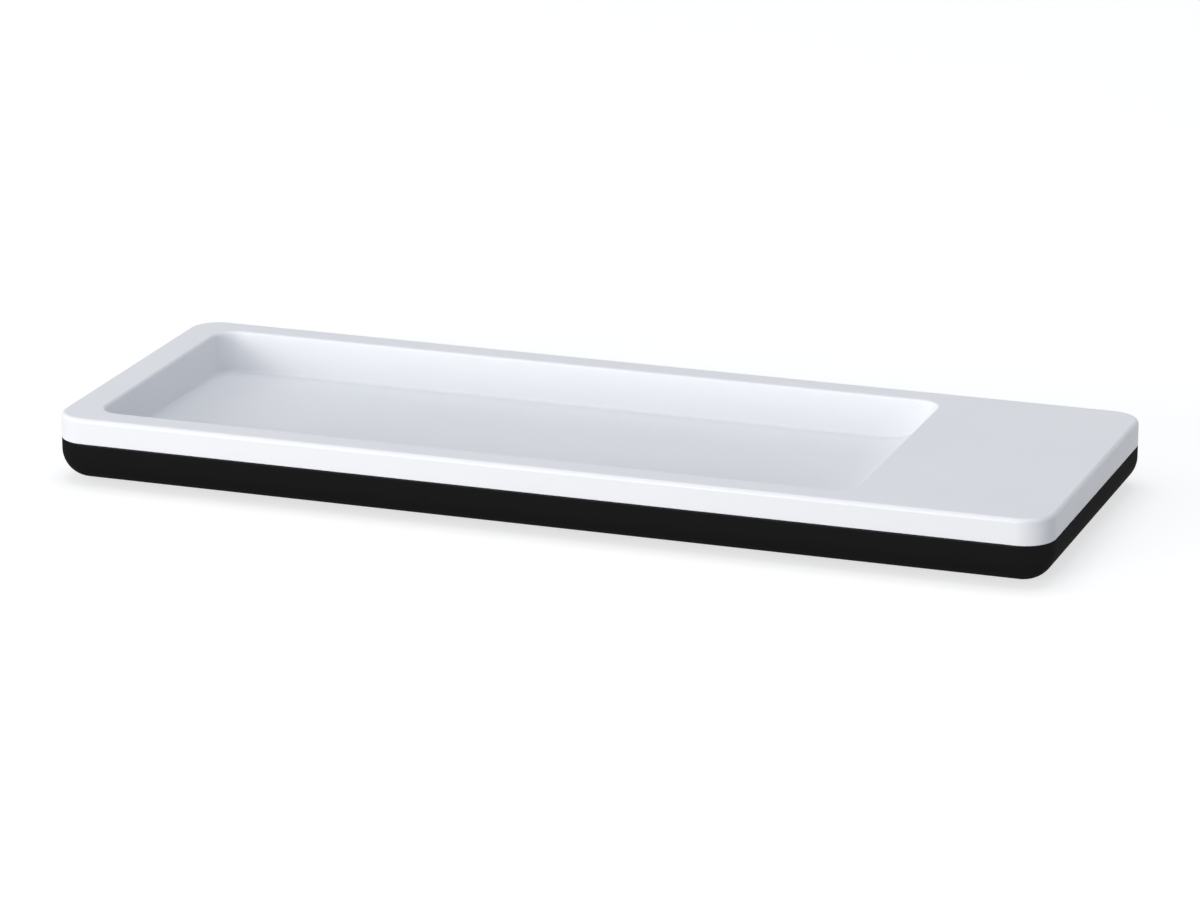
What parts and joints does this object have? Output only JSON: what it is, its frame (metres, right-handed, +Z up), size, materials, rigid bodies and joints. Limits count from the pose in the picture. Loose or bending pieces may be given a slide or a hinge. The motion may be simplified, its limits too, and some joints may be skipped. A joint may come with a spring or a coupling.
{
  "type": "pen tray",
  "caption": "Low desk tray in two snapped shells: a white top with a long pen trough, a concave ramp and a flat magnetic clip plateau, on a rounded black base with rubber feet.",
  "frame": {"origin": "centre of the footprint, on the desk under the rubber feet", "axes": "+X along the trough towards the clip plateau, +Y towards the back of the tray, +Z up"},
  "size_m": [0.29, 0.106, 0.0198],
  "materials": {
    "white_shell": "white moulded ABS, satin gloss",
    "black_base": "black moulded ABS, high gloss",
    "ferrite": "sintered ferrite, matt grey",
    "foot_rubber": "matt black rubber"
  },
  "bodies": {
    "root": {"upper_tray": "white_shell", "lower_base": "black_base", "clip_magnet": "ferrite", "foot_front_left": "foot_rubber", "foot_front_right": "foot_rubber", "foot_back_left": "foot_rubber", "foot_back_right": "foot_rubber"}
  },
  "joints": []
}
